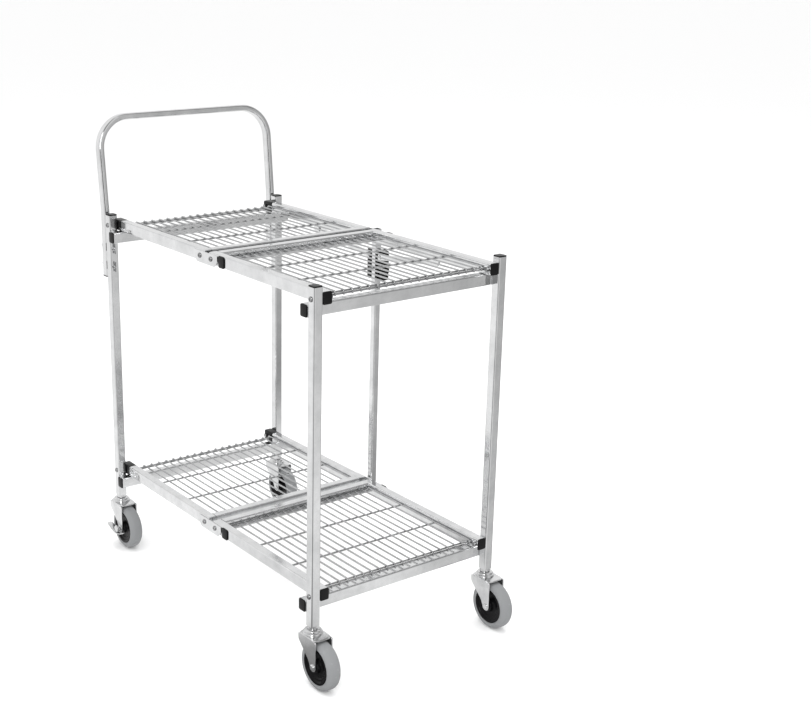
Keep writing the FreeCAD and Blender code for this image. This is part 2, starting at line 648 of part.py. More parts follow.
def handle():
    x = f"(-{LEG_X} - tube / 2 - spacer - handle_depth / 2)"
    bow = doc.addObject("Part::Feature", "handle_bow")
    bow.Shape = handle_solid(0).cut(handle_solid(size("handle_wall")))
    place(bow, (x, "0", "leg_top"))
    tools, spacers, bolts = [], [], []
    for side, hand in SIDES.items():
        y = f"{hand} * {LEG_Y}"
        for i in range(2):
            z = handle_bolt_level(i)
            label = f"handle_{side}_{i}"
            tools.append(rod(label + "_bore", "x", "bolt_radius + pin_gap", "2 * handle_depth", (x, y, z)))
            pad_x = f"-{LEG_X} - tube / 2 - spacer / 2"
            pad = block(label + "_pad", ("spacer", "handle_width", "spacer_side"), (pad_x, y, z))
            pad_bore = rod(label + "_pad_bore", "x", "bolt_radius + pin_gap", "2 * spacer", (pad_x, y, z))
            spacers.append(cut(label + "_spacer", pad, [pad_bore]))
            bolts += handle_bolt(label, y, z)
    keep("handle", cut("handle", bow, tools))
    keep("handle_spacers", group("handle_spacers", spacers))
    keep("handle_bolts", group("handle_bolts", bolts))
    plugs = []
    for side, hand in SIDES.items():
        spot = [x, f"{hand} * {LEG_Y}"]
        flat = block(f"handle_{side}_plug_head", ("handle_depth", "handle_width", "cap_depth"),
                     spot + [f"{handle_bolt_level(1)} - handle_end - cap_depth / 2"])
        head = rounded(f"handle_{side}_plug_smooth", flat, size("handle_round"), runs_along("z"))
        sides = [f"handle_{axis} - 2 * handle_wall - 2 * plug_gap" for axis in ("depth", "width")]
        core = block(f"handle_{side}_plug_block", sides + ["plug_depth"],
                     spot + [f"{handle_bolt_level(1)} - handle_end + plug_depth / 2"])
        core = rounded(f"handle_{side}_plug_core", core, size("handle_round") - size("handle_wall"), runs_along("z"))
        plugs.append(fuse(f"handle_{side}_plug", [head, core]))
    keep("handle_plugs", group("handle_plugs", plugs))


def handle_bolt(label, y, z):
    """A bolt from behind the handle through the leg, with a wing nut on the shelf side."""
    back = f"(-{LEG_X} - tube / 2 - spacer - handle_depth)"
    face = f"(-{LEG_X} + tube / 2)"
    tip = f"({face} + 2 * nut_depth)"
    head = rod(label + "_head", "x", "head_radius", "head_depth", (f"{back} - head_depth / 2", y, z))
    shank = rod(label + "_shank", "x", "bolt_radius", f"{tip} - {back}", (f"({tip} + {back}) / 2", y, z))
    boss = rod(label + "_boss", "x", "nut_radius", "nut_depth", (f"{face} + nut_depth / 2", y, z))
    wings = block(label + "_wings", ("nut_depth", "2", "2 * wing_reach"), (f"{face} + nut_depth", y, z))
    blank = fuse(label + "_wing_blank", [boss, wings])
    thread = rod(label + "_thread", "x", "bolt_radius", "6 * nut_depth", (face, y, z))
    return [fuse(label + "_bolt", [head, shank]), cut(label + "_wing_nut", blank, [thread])]


# Casters: a fork that swivels on its stem, a wheel with a plastic core, and a brake pedal at the rear.
def caster(end, side):
    sign, hand = ENDS[end], SIDES[side]
    swivel_x, y = f"{sign} * {LEG_X}", f"{hand} * {LEG_Y}"
    axle_x = f"({swivel_x} + trail)"
    name = f"{end}_{side}"
    cheek_y = "(fork_gap / 2 + fork_wall / 2)"
    slope_x = "trail - fork_tip"
    points = [("-fork_back", "fork_top"), ("trail + fork_tip", "fork_top"), ("trail + fork_tip", "wheel_radius"),
              (slope_x, "wheel_radius"), ("-fork_back", "fork_top - fork_eye_drop")]
    pieces = []
    for i, lean in enumerate((LEFT, RIGHT)):
        pieces.append(plate(f"{name}_cheek_{i}", points, "fork_wall", (swivel_x, f"{y} + {lean} * {cheek_y}", "0")))
        pieces.append(rod(f"{name}_tip_{i}", "y", "fork_tip", "fork_wall",
                          (axle_x, f"{y} + {lean} * {cheek_y}", "wheel_radius")))
    crown_length = "(fork_back + trail + fork_tip)"
    pieces.append(block(f"{name}_crown", (crown_length, "fork_gap + 2 * fork_wall", "fork_wall"),
                        (f"{swivel_x} - fork_back + {crown_length} / 2", y, "fork_top - fork_wall / 2")))
    dome = doc.addObject("Part::Cone", f"{name}_dome")
    bind(dome, Radius1="housing_radius", Radius2="housing_neck", Height="housing_depth")
    pieces.append(place(dome, (swivel_x, y, "fork_top")))
    kingpin = rod(f"{name}_kingpin_bore", "z", "stem_radius + pin_gap", "stem_length", (swivel_x, y, "fork_top"))
    axle_bore = rod(f"{name}_axle_bore", "y", "axle_radius", "2 * fork_gap", (axle_x, y, "wheel_radius"))
    fork = cut(f"{name}_fork_body", fuse(f"{name}_fork_blank", pieces), [kingpin, axle_bore])
    axle = rod(f"{name}_axle_shaft", "y", "axle_radius", "fork_gap + 2 * fork_wall", (axle_x, y, "wheel_radius"))
    heads = [rod(f"{name}_axle_head_{i}", "y", "head_radius + 1", "head_depth",
                 (axle_x, f"{y} + {lean} * (fork_gap / 2 + fork_wall + head_depth / 2)", "wheel_radius"))
             for i, lean in enumerate((LEFT, RIGHT))]
    keep(f"{name}_fork", group(f"{name}_fork", [fork, fuse(f"{name}_axle", [axle] + heads)]))
    wheel(name, (axle_x, y, "wheel_radius"))
    if end == "rear":
        brake_pedal(name, hand, axle_x, y)


def wheel(name, at):
    """A dished plastic core and a solid rubber tyre on its rim."""
    half_rim, half_web, half_hub = "(tyre_width / 2)", "(web_width / 2)", "(core_width / 2)"
    bore, rim_in = "axle_radius + pin_gap", "(core_radius - 4)"
    points = [(bore, f"-{half_hub}"), ("hub_radius", f"-{half_hub}"), ("hub_radius + 3", f"-{half_web}"),
              (f"{rim_in} - 3", f"-{half_web}"), (rim_in, f"-{half_rim}"), ("core_radius", f"-{half_rim}"),
              ("core_radius", half_rim), (rim_in, half_rim), (f"{rim_in} - 3", half_web),
              ("hub_radius + 3", half_web), ("hub_radius", half_hub), (bore, half_hub)]
    keep(f"{name}_wheel_core", turned(f"{name}_wheel_core", points, at))
    blank = rod(f"{name}_tyre_blank", "y", "wheel_radius", "tyre_width", at)
    tread = rounded(f"{name}_tyre_tread", blank, size("tyre_width") / 5, lambda edge: isinstance(edge.Curve, Part.Circle))
    seat = rod(f"{name}_tyre_seat", "y", "core_radius", "2 * tyre_width", at)
    keep(f"{name}_tyre", cut(f"{name}_tyre", tread, [seat]))


def brake_pedal(name, hand, axle_x, y):
    """A rocker pedal on the outer end of the axle, with a raised tread at its back end."""
    face = "(fork_gap / 2 + fork_wall + head_depth + body_gap)"
    low = "(-head_radius - 1 - body_gap - pedal_wall)"
    thick = "pedal_wall"
    points = [("-pedal_reach", f"{low} + pedal_rise"), ("0", low), ("pedal_reach * 0.7", f"{low} + pedal_rise / 3"),
              ("pedal_reach * 0.7", f"{low} + pedal_rise / 3 + {thick}"), ("0", f"{low} + {thick}"),
              ("-pedal_reach", f"{low} + pedal_rise + {thick}")]
    middle_y = f"{y} + {hand} * (fork_gap / 2 + fork_wall + body_gap + pedal_width / 2)"
    rocker = plate(f"{name}_pedal_plate", points, "pedal_width", (axle_x, middle_y, "wheel_radius"))
    web_y = f"{y} + {hand} * ({face} + pedal_wall / 2)"
    web = rod(f"{name}_pedal_web", "y", f"-{low}", "pedal_wall", (axle_x, web_y, "wheel_radius"))
    keep(f"{name}_brake_pedal", fuse(f"{name}_brake_pedal", [rocker, web]))


for end_name in ENDS:
    leg_frame(end_name)
    for level_name in LEVELS:
        half_shelf(level_name, end_name)
    link(end_name)
    for side_name in SIDES:
        caster(end_name, side_name)
middle_hinges()
upright_bar()
collar()
handle()

doc.recompute()
for thing in doc.Objects:
    broken = {"Invalid", "Error"} & set(thing.State)
    if broken:
        raise RuntimeError(f"{thing.Name} is {broken}")
for node, thing in nodes.items():
    shape = thing.Shape
    if shape.isNull() or not shape.isValid() or shape.Volume <= 0 or not shape.Solids:
        raise RuntimeError(f"{node} has no valid solid")

os.makedirs("parts", exist_ok=True)
for node, thing in nodes.items():
    thing.Shape.exportStep(f"parts/{node}.step")
print(len(nodes), "sub-parts")
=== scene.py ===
import json
import math
import bmesh
import bpy
import numpy as np
from mathutils import Matrix, Vector


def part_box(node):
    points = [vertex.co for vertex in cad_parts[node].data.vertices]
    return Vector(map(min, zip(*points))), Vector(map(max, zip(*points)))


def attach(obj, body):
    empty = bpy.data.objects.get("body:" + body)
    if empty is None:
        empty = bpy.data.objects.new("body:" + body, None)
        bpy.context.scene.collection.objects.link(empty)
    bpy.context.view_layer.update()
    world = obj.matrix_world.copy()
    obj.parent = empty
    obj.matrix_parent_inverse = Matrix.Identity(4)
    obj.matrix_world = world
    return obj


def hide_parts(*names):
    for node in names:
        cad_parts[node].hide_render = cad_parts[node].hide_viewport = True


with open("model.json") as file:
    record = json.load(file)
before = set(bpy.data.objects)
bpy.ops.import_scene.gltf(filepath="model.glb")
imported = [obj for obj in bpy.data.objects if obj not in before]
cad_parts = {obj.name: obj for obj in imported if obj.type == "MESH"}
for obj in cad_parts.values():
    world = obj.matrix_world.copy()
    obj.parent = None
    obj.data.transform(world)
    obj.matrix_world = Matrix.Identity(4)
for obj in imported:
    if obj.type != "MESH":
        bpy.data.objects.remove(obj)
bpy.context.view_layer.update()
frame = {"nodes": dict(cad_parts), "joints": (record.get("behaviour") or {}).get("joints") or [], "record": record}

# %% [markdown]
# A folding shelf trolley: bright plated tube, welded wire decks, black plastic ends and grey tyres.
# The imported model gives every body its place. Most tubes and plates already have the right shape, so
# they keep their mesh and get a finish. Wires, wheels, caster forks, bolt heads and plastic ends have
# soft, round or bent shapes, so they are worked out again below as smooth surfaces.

nodes = frame["nodes"]
MM = 0.001
ENDS, SIDES, LEVELS = ("rear", "front"), ("left", "right"), ("upper", "lower")


def middle_of(node):
    """The middle of a node's box."""
    low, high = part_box(node)
    return (low + high) / 2


# %% [markdown]
# Every new piece is a grid of points. A shape here is always three things: its points, the four-sided
# faces between them, and the caps that close its ends. One helper turns a shape into an object, so
# each cell below only has to say where its points are.

# %% Mesh helpers
def face_outwards(piece):
    """Turns all faces to look out of their closed shells."""
    work = bmesh.new()
    work.from_mesh(piece.data)
    bmesh.ops.recalc_face_normals(work, faces=work.faces)
    work.to_mesh(piece.data)
    work.free()


def mesh_piece(name, shape, body, material, stands_for=()):
    """Puts a shape's whole arrays into one smooth object that rides on a body and stands for CAD nodes."""
    points, quads, caps = shape
    mesh = bpy.data.meshes.new(name)
    faces = [tuple(int(i) for i in face) for group in (quads, caps) for face in group]
    mesh.from_pydata(np.asarray(points, float).tolist(), [], faces)
    mesh.validate()
    mesh.update()
    piece = bpy.data.objects.new(name, mesh)
    bpy.context.scene.collection.objects.link(piece)
    mesh.materials.append(material)
    mesh.shade_smooth()
    mesh.set_sharp_from_angle(angle=math.radians(38))
    face_outwards(piece)
    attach(piece, body)
    if stands_for:
        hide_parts(*stands_for)
    return piece


def join_shapes(shapes):
    """Joins shapes into one and shifts the point numbers of each by the points before it."""
    points, quads, caps, count = [], [], [], 0
    for own_points, own_quads, own_caps in shapes:
        points.append(own_points)
        quads.append(own_quads + count)
        caps += [[i + count for i in ring] for ring in own_caps]
        count += len(own_points)
    return np.concatenate(points), np.concatenate(quads), caps


def grid_quads(rows, columns, close_rows=False):
    """Faces between neighbours of a grid whose columns go round a ring."""
    r = np.arange(rows if close_rows else rows - 1)[:, None]
    c = np.arange(columns)[None, :]
    following = (c + 1) % columns
    above = (r + 1) % rows
    quad = [r * columns + c, r * columns + following, above * columns + following, above * columns + c]
    return np.stack([np.broadcast_to(q, (len(r), columns)) for q in quad], -1).reshape(-1, 4)


def end_caps(rows, columns):
    """The first and the last ring of a grid, as the two faces that close it."""
    return [list(range(columns))[::-1], list(range((rows - 1) * columns, rows * columns))]


def lathe(profile, centre, axis="y", steps=64):
    """Turns a closed profile of (radius, along) pairs about an axis: radius times cosine and sine."""
    profile = np.asarray(profile, float)
    turn = np.linspace(0, 2 * math.pi, steps, endpoint=False)
    radius, along = profile[:, :1], np.repeat(profile[:, 1:], steps, 1)
    one, two = radius * np.cos(turn), radius * np.sin(turn)
    order = {"x": (along, one, two), "y": (two, along, one), "z": (one, two, along)}[axis]
    points = np.stack(order, -1).reshape(-1, 3) + np.asarray(centre, float)
    return points, grid_quads(len(profile), steps, close_rows=True)[:, ::-1], []


def soft_profile(corners, radius, steps=5):
    """Rounds each corner of a closed profile with a short curve between points on its two sides."""
    corners = np.asarray(corners, float)
    before, after = np.roll(corners, 1, 0), np.roll(corners, -1, 0)
    to_before, to_after = before - corners, after - corners
    reach_before = np.linalg.norm(to_before, axis=1, keepdims=True)
    reach_after = np.linalg.norm(to_after, axis=1, keepdims=True)
    cut = np.minimum(radius, 0.45 * np.minimum(reach_before, reach_after))
    start = corners + to_before / reach_before * cut
    end = corners + to_after / reach_after * cut
    t = np.linspace(0, 1, steps)[None, :, None]
    curve = (1 - t) ** 2 * start[:, None] + 2 * t * (1 - t) * corners[:, None] + t ** 2 * end[:, None]
    return curve.reshape(-1, 2)


def sweep(path, radius, steps=10):
    """A round wire along a path: each ring lies across the path. The radius may differ along it."""
    path = np.asarray(path, float)
    along = np.gradient(path, axis=0)
    along /= np.linalg.norm(along, axis=1, keepdims=True)
    guide = np.array([0.0, 1.0, 0.0]) if abs(along[0][1]) < 0.7 else np.array([0.0, 0.0, 1.0])
    side = np.cross(along, guide)
    side /= np.linalg.norm(side, axis=1, keepdims=True)
    other = np.cross(along, side)
    turn = np.linspace(0, 2 * math.pi, steps, endpoint=False)
    ring = np.cos(turn)[None, :, None] * side[:, None] + np.sin(turn)[None, :, None] * other[:, None]
    points = path[:, None] + np.reshape(radius, (-1, 1, 1)) * ring
    return points.reshape(-1, 3), grid_quads(len(path), steps), end_caps(len(path), steps)


print("helpers ready")

# %% [markdown]
# Bright zinc plating over rolled tube isn't a perfect mirror. The rolls leave faint lines along the
# tube, the plating has soft clouds, and handling leaves fine marks. One node group makes these as
# masks, and each metal uses it with its own tones and bump strength.

# %% Shared surface groups
def new_group(name, inputs, outputs):
    """An empty shader node group with named value inputs and outputs."""
    tree = bpy.data.node_groups.new(name, "ShaderNodeTree")
    for label, kind, default in inputs:
        socket = tree.interface.new_socket(name=label, in_out="INPUT", socket_type=kind)
        if default is not None:
            socket.default_value = default
    for label, kind in outputs:
        tree.interface.new_socket(name=label, in_out="OUTPUT", socket_type=kind)
    return tree, tree.nodes.new("NodeGroupInput"), tree.nodes.new("NodeGroupOutput")


def node(tree, kind, **values):
    """Adds a node and sets its properties by name, or its sockets by their label."""
    made = tree.nodes.new(kind)
    for key, value in values.items():
        if hasattr(made, key):
            setattr(made, key, value)
        else:
            made.inputs[key.replace("_", " ")].default_value = value
    return made


def math_node(tree, operation, first, second):
    """One sum, product or other operation on two sockets or numbers."""
    made = tree.nodes.new("ShaderNodeMath")
    made.operation = operation
    for socket, value in zip(made.inputs, (first, second)):
        if isinstance(value, (int, float)):
            socket.default_value = value
        else:
            tree.links.new(value, socket)
    return made.outputs[0]


def plating_group():
    """Rolling lines stretched along X and along Z, soft clouds, and sparse short scratches."""
    tree, source, sink = new_group(
        "plating", [("Vector", "NodeSocketVector", None), ("Clouds", "NodeSocketFloat", 0.5)],
        [("Lines", "NodeSocketFloat"), ("Clouds", "NodeSocketFloat"), ("Marks", "NodeSocketFloat")])
    stretch = node(tree, "ShaderNodeMapping")
    stretch.inputs["Scale"].default_value = (22, 520, 520)
    tree.links.new(source.outputs["Vector"], stretch.inputs["Vector"])
    lines = node(tree, "ShaderNodeTexNoise", Scale=1.0, Detail=3.0)
    tree.links.new(stretch.outputs[0], lines.inputs["Vector"])
    tall = node(tree, "ShaderNodeMapping")
    tall.inputs["Scale"].default_value = (480, 480, 18)
    tree.links.new(source.outputs["Vector"], tall.inputs["Vector"])
    upright = node(tree, "ShaderNodeTexNoise", Scale=1.0, Detail=3.0)
    tree.links.new(tall.outputs[0], upright.inputs["Vector"])
    clouds = node(tree, "ShaderNodeTexNoise", Scale=26.0, Detail=5.0, Roughness=0.62)
    tree.links.new(source.outputs["Vector"], clouds.inputs["Vector"])
    marks = node(tree, "ShaderNodeTexNoise", Scale=420.0, Detail=2.0)
    tree.links.new(source.outputs["Vector"], marks.inputs["Vector"])
    sharp = node(tree, "ShaderNodeMapRange")
    sharp.inputs["From Min"].default_value = 0.62
    sharp.inputs["From Max"].default_value = 0.74
    tree.links.new(marks.outputs[0], sharp.inputs["Value"])
    both = math_node(tree, "ADD", math_node(tree, "MULTIPLY", lines.outputs[0], 0.5),
                     math_node(tree, "MULTIPLY", upright.outputs[0], 0.5))  # the mean of both directions
    tree.links.new(both, sink.inputs["Lines"])
    cloudy = math_node(tree, "MULTIPLY", clouds.outputs[0], source.outputs["Clouds"])
    tree.links.new(cloudy, sink.inputs["Clouds"])
    tree.links.new(sharp.outputs[0], sink.inputs["Marks"])
    return tree


def grain_group():
    """The fine spark-eroded grain of moulded plastic, with paler scuffs at a larger scale."""
    tree, source, sink = new_group(
        "moulded_grain", [("Vector", "NodeSocketVector", None), ("Scale", "NodeSocketFloat", 1500.0)],
        [("Grain", "NodeSocketFloat"), ("Scuffs", "NodeSocketFloat")])
    grain = node(tree, "ShaderNodeTexNoise", Detail=2.0)
    tree.links.new(source.outputs["Vector"], grain.inputs["Vector"])
    tree.links.new(source.outputs["Scale"], grain.inputs["Scale"])
    scuffs = node(tree, "ShaderNodeTexNoise", Scale=60.0, Detail=6.0, Roughness=0.7)
    tree.links.new(source.outputs["Vector"], scuffs.inputs["Vector"])
    narrow = node(tree, "ShaderNodeMapRange")
    narrow.inputs["From Min"].default_value = 0.5
    narrow.inputs["From Max"].default_value = 0.8
    tree.links.new(scuffs.outputs[0], narrow.inputs["Value"])
    tree.links.new(grain.outputs[0], sink.inputs["Grain"])
    tree.links.new(narrow.outputs[0], sink.inputs["Scuffs"])
    return tree


PLATING, GRAIN = plating_group(), grain_group()
print("groups", PLATING.name, GRAIN.name)

# %% [markdown]
# A material puts those masks to work: a colour ramp between two near tones, roughness between two
# values, and a small bump. The constants that are the same all over sit on the shader itself.

# %% Materials
def start_material(name, group):
    """A material with its shader, the object's coordinates and one shared group."""
    material = bpy.data.materials.new(name)
    material.use_nodes = True
    tree = material.node_tree
    shader = next(n for n in tree.nodes if n.type == "BSDF_PRINCIPLED")
    place = tree.nodes.new("ShaderNodeTexCoord")
    made = tree.nodes.new("ShaderNodeGroup")
    made.node_tree = group
    tree.links.new(place.outputs["Object"], made.inputs["Vector"])
    return material, tree, shader, made


def drive(tree, mask, low, high, socket):
    """Feeds a shader socket with a value between low and high as a mask goes from 0 to 1."""
    span = tree.nodes.new("ShaderNodeMapRange")
    span.inputs["From Min"].default_value, span.inputs["From Max"].default_value = 0.25, 0.75
    span.inputs["To Min"].default_value, span.inputs["To Max"].default_value = low, high
    tree.links.new(mask, span.inputs["Value"])
    tree.links.new(span.outputs[0], socket)


def two_tones(tree, mask, first, second, socket):
    """Feeds a colour socket with a blend of two colours."""
    ramp = tree.nodes.new("ShaderNodeValToRGB")
    ramp.color_ramp.elements[0].color = (*first, 1)
    ramp.color_ramp.elements[1].color = (*second, 1)
    ramp.color_ramp.elements[0].position, ramp.color_ramp.elements[1].position = 0.3, 0.7
    tree.links.new(mask, ramp.inputs[0])
    tree.links.new(ramp.outputs[0], socket)


def bump(tree, height, strength, distance, shader):
    made = tree.nodes.new("ShaderNodeBump")
    made.inputs["Strength"].default_value = strength
    made.inputs["Distance"].default_value = distance
    tree.links.new(height, made.inputs["Height"])
    tree.links.new(made.outputs[0], shader.inputs["Normal"])


def metal(name, dark, light, smooth, rough, line_strength):
    """Plated metal: tone from the clouds, roughness from the rolling lines and marks, bump from the lines."""
    material, tree, shader, plating = start_material(name, PLATING)
    plating.inputs["Clouds"].default_value = 1.0  # the full strength of the clouds
    shader.inputs["Metallic"].default_value = 1.0
    two_tones(tree, plating.outputs["Clouds"], dark, light, shader.inputs["Base Color"])
    marks = math_node(tree, "MULTIPLY", plating.outputs["Marks"], 0.3)
    worn = math_node(tree, "ADD", plating.outputs["Lines"], marks)
    drive(tree, worn, smooth, rough, shader.inputs["Roughness"])
    bump(tree, plating.outputs["Lines"], line_strength, 0.0002, shader)
    return material


def plastic(name, dark, light, smooth, rough, grain_strength, scale=1500.0, shine=0.3):
    """Moulded plastic or rubber: scuffs lighten it and roughen it, and the grain is its bump."""
    material, tree, shader, grain = start_material(name, GRAIN)
    grain.inputs["Scale"].default_value = scale
    two_tones(tree, grain.outputs["Scuffs"], dark, light, shader.inputs["Base Color"])
    drive(tree, grain.outputs["Scuffs"], smooth, rough, shader.inputs["Roughness"])
    shader.inputs["Specular IOR Level"].default_value = shine
    bump(tree, grain.outputs["Grain"], grain_strength, 0.0002, shader)
    return material


FINISH = {
    "bright_steel": metal("bright_tube", (0.68, 0.685, 0.69), (0.82, 0.823, 0.828), 0.07, 0.19, 0.12),
    "zinc_steel": metal("zinc_fittings", (0.62, 0.625, 0.63), (0.82, 0.822, 0.826), 0.10, 0.24, 0.16),
    "black_plastic": plastic("black_plastic", (0.003, 0.003, 0.0034), (0.010, 0.010, 0.0105),
                             0.30, 0.48, 0.25, shine=0.2),
    "black_knob": plastic("black_knob", (0.003, 0.003, 0.0034), (0.008, 0.008, 0.0084), 0.24, 0.38, 0.12),
    "black_core": plastic("black_core", (0.004, 0.004, 0.0045), (0.012, 0.012, 0.0125),
                          0.26, 0.44, 0.22, 1100.0, shine=0.12),
    "grey_rubber": plastic("grey_rubber", (0.215, 0.22, 0.225), (0.285, 0.288, 0.292), 0.48, 0.70, 0.35, 900.0),
}
WIRE = metal("deck_wire", (0.40, 0.405, 0.41), (0.58, 0.583, 0.587), 0.12, 0.26, 0.10)
BOLT = metal("bolt_steel", (0.26, 0.262, 0.265), (0.46, 0.462, 0.466), 0.18, 0.32, 0.12)
slots = {part["node"]: part["material_slot"] for part in frame["record"]["subparts"]}
for name, piece in nodes.items():
    finish = WIRE if name.endswith("_wires") else FINISH[slots[name]]
    for index in range(len(piece.material_slots)):
        piece.material_slots[index].material = finish
    if not piece.material_slots:
        piece.data.materials.append(finish)
print("finished", len(nodes), "nodes")

# %% [markdown]
# The shelves are welded grids. Each long wire runs level and turns down at both ends onto an end rod,
# which gives the row of short teeth along the edge of a half shelf. Two cross rods lie underneath.
# One wire's path is worked out once, and the whole row is that wire repeated across the shelf.

# %% Wire decks
WIRE_RADIUS, ROD_RADIUS, TURN_RADIUS, TOOTH = 1.75 * MM, 2 * MM, 4 * MM, 9 * MM
WIRE_COUNT, WIRE_PITCH, WELD_SINK = 20, 19.6 * MM, 0.6 * MM
FOOT_ROD_IN, TOP_ROD_IN, FOOT_ROD_UP = 3.2 * MM, 5.5 * MM, 2 * MM


def bent_wire_path(start, end, level, arc_steps=6):
    """Level line whose two ends turn down through a quarter circle and run on straight."""
    arc = np.linspace(0, math.pi / 2, arc_steps)
    turn_x = TURN_RADIUS * np.sin(arc)
    turn_z = level - TURN_RADIUS + TURN_RADIUS * np.cos(arc)
    right = np.stack([end - TURN_RADIUS + turn_x, turn_z], 1)
    left = np.stack([start + TURN_RADIUS - turn_x, turn_z], 1)[::-1]
    foot = level - TOOTH
    outline = np.concatenate([[[start, foot]], left, right, [[end, foot]]])
    return np.stack([outline[:, 0], np.zeros(len(outline)), outline[:, 1]], 1)


def wire_deck(level_name, end_name):
    """One bent wire repeated across the shelf, on six straight rods: two at each end and two between."""
    body = f"{level_name}_{end_name}_shelf"
    low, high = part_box(body + "_wires")
    wire_level = high.z - WIRE_RADIUS
    path = bent_wire_path(low.x + WIRE_RADIUS, high.x - WIRE_RADIUS, wire_level)
    points, quads, caps = sweep(path, WIRE_RADIUS)
    across = (np.arange(WIRE_COUNT) - (WIRE_COUNT - 1) / 2) * WIRE_PITCH
    shapes = [(points + np.array([0, y, 0]), quads, caps) for y in across]
    start, end = low.x + ROD_RADIUS, high.x - ROD_RADIUS
    rod_level = wire_level - WIRE_RADIUS - ROD_RADIUS + WELD_SINK
    foot_level = wire_level - TOOTH + FOOT_ROD_UP
    spots = [(start + FOOT_ROD_IN, foot_level), (end - FOOT_ROD_IN, foot_level)]
    spots += [(start + TOP_ROD_IN, rod_level), (end - TOP_ROD_IN, rod_level)]
    spots += [(start + (end - start) * third / 3, rod_level) for third in (1, 2)]
    for x, z in spots:
        line = np.stack([np.full(12, x), np.linspace(low.y, high.y, 12), np.full(12, z)], 1)
        shapes.append(sweep(line, ROD_RADIUS))
    return mesh_piece(f"deck_{level_name}_{end_name}", join_shapes(shapes), body, WIRE,
                      [body + "_wires"])


for level_name in LEVELS:
    for end_name in ENDS:
        deck = wire_deck(level_name, end_name)
        print(deck.name, len(deck.data.polygons), "faces")

# %% [markdown]
# The wheel is two shots of plastic. A black core has a hub, a dished web with a ring step, and a rim.
# The soft grey tyre is moulded over the rim, with a flat tread and round shoulders. Both are turned
# shapes, so each is a profile carried once round the axle.

# %% Wheels
CORE_SEAT, CORE_HUB, AXLE_BORE = 37 * MM, 17 * MM, 4.05 * MM


def mirrored(half_profile):
    """A closed profile from its half on the negative side: the same points again with the other sign."""
    return half_profile + [(radius, -along) for radius, along in reversed(half_profile)]


def wheel(end_name, side_name):
    """Core and tyre as closed profiles turned about the axle."""
    label = f"{end_name}_{side_name}"
    low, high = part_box(label + "_tyre")
    centre = (low + high) / 2
    radius, half = (high.z - low.z) / 2, (high.y - low.y) / 2
    section = mirrored([(CORE_SEAT, -half * 0.9), (CORE_SEAT + 2 * MM, -half), (radius - 7 * MM, -half),
                        (radius - 2 * MM, -half + 4 * MM), (radius, -half + 9 * MM)])
    tyre = lathe(soft_profile(section, 3 * MM), centre, steps=96)
    mesh_piece(f"tyre_{label}", tyre, label + "_wheel", FINISH["grey_rubber"], [label + "_tyre"])
    section = mirrored([(AXLE_BORE, -CORE_HUB), (8 * MM, -CORE_HUB), (11.5 * MM, -CORE_HUB + 1.5 * MM),
                        (13 * MM, -9 * MM), (17 * MM, -7.5 * MM), (24 * MM, -8.5 * MM), (26 * MM, -10.5 * MM),
                        (30 * MM, -11 * MM), (32.5 * MM, -half + 1 * MM), (CORE_SEAT, -half + 0.6 * MM)])
    core = lathe(soft_profile(section, 1.2 * MM), centre, steps=96)
    mesh_piece(f"core_{label}", core, label + "_wheel", FINISH["black_core"],
               [label + "_wheel_core"])


for end_name in ENDS:
    for side_name in SIDES:
        wheel(end_name, side_name)
print("wheels turned")

# %% [markdown]
# A swivel caster is pressed from sheet. The crown is a plate whose two legs fold down on both sides of
# the wheel and narrow to a round eye at the axle. A ball race with two raised rings sits on the crown.
# The fork's legs are flat plates with soft edges, so their outline is worked out as one closed curve
# and given a thickness. The race is a turned profile.

# %% Plates with a thickness
def plate_solid(outline, depth, centre, bevel):
    """A flat closed outline in X and Z, made thick along Y, with its two rims drawn in to soften them."""
    outline = np.asarray(outline, float)
    middle = outline.mean(0)
    away = outline - middle
    inner = middle + away * (1 - bevel / np.linalg.norm(away, axis=1, keepdims=True))
    layers = [(inner, -depth / 2), (outline, bevel - depth / 2), (outline, depth / 2 - bevel), (inner, depth / 2)]
    points = np.concatenate([np.stack([ring[:, 0], np.full(len(ring), y), ring[:, 1]], 1)
                             for ring, y in layers])
    count = len(outline)
    return points + np.asarray(centre, float), grid_quads(4, count), end_caps(4, count)


# %% [markdown]
# The crown seen from above is a rectangle with well rounded corners. That is a superellipse: the
# cosine and sine of a circle keep their sign, and their size is raised to a power below one.

# %% Caster forks
TRAIL, CROWN_TOP, AXLE_UP = 28 * MM, 107 * MM, 50 * MM
CROWN_BACK, CROWN_FRONT, CROWN_HALF_WIDTH = -20 * MM, 37 * MM, 20.5 * MM
CHEEK, CHEEK_INSIDE, CHEEK_EYE = 2.5 * MM, 18 * MM, 9 * MM
STEM_BORE, NEAR_AXIS = 5.06 * MM, 0.1 * MM


def rounded_power(angle_part, power):
    """A cosine or sine that keeps its sign while its size is raised to a power."""
    return np.sign(angle_part) * np.abs(angle_part) ** power


def cheek_outline(swivel_x):
    """Outline of a fork leg: straight top, a slanting back edge and a half-round eye at the axle."""
    drop = np.linspace(0, -math.pi, 14)
    eye = [(TRAIL + CHEEK_EYE * math.cos(a), AXLE_UP + CHEEK_EYE * math.sin(a)) for a in drop]
    top = CROWN_TOP - 1.5 * MM
    corners = [(CROWN_BACK, top), (CROWN_FRONT, top), (CROWN_FRONT, 78 * MM), *eye,
               (13 * MM, 62 * MM), (-6 * MM, 80 * MM), (CROWN_BACK + 1 * MM, 92 * MM)]
    outline = soft_profile(corners, 3.5 * MM, 4)
    outline[:, 0] = np.clip(outline[:, 0], CROWN_BACK, CROWN_FRONT) + swivel_x
    return outline


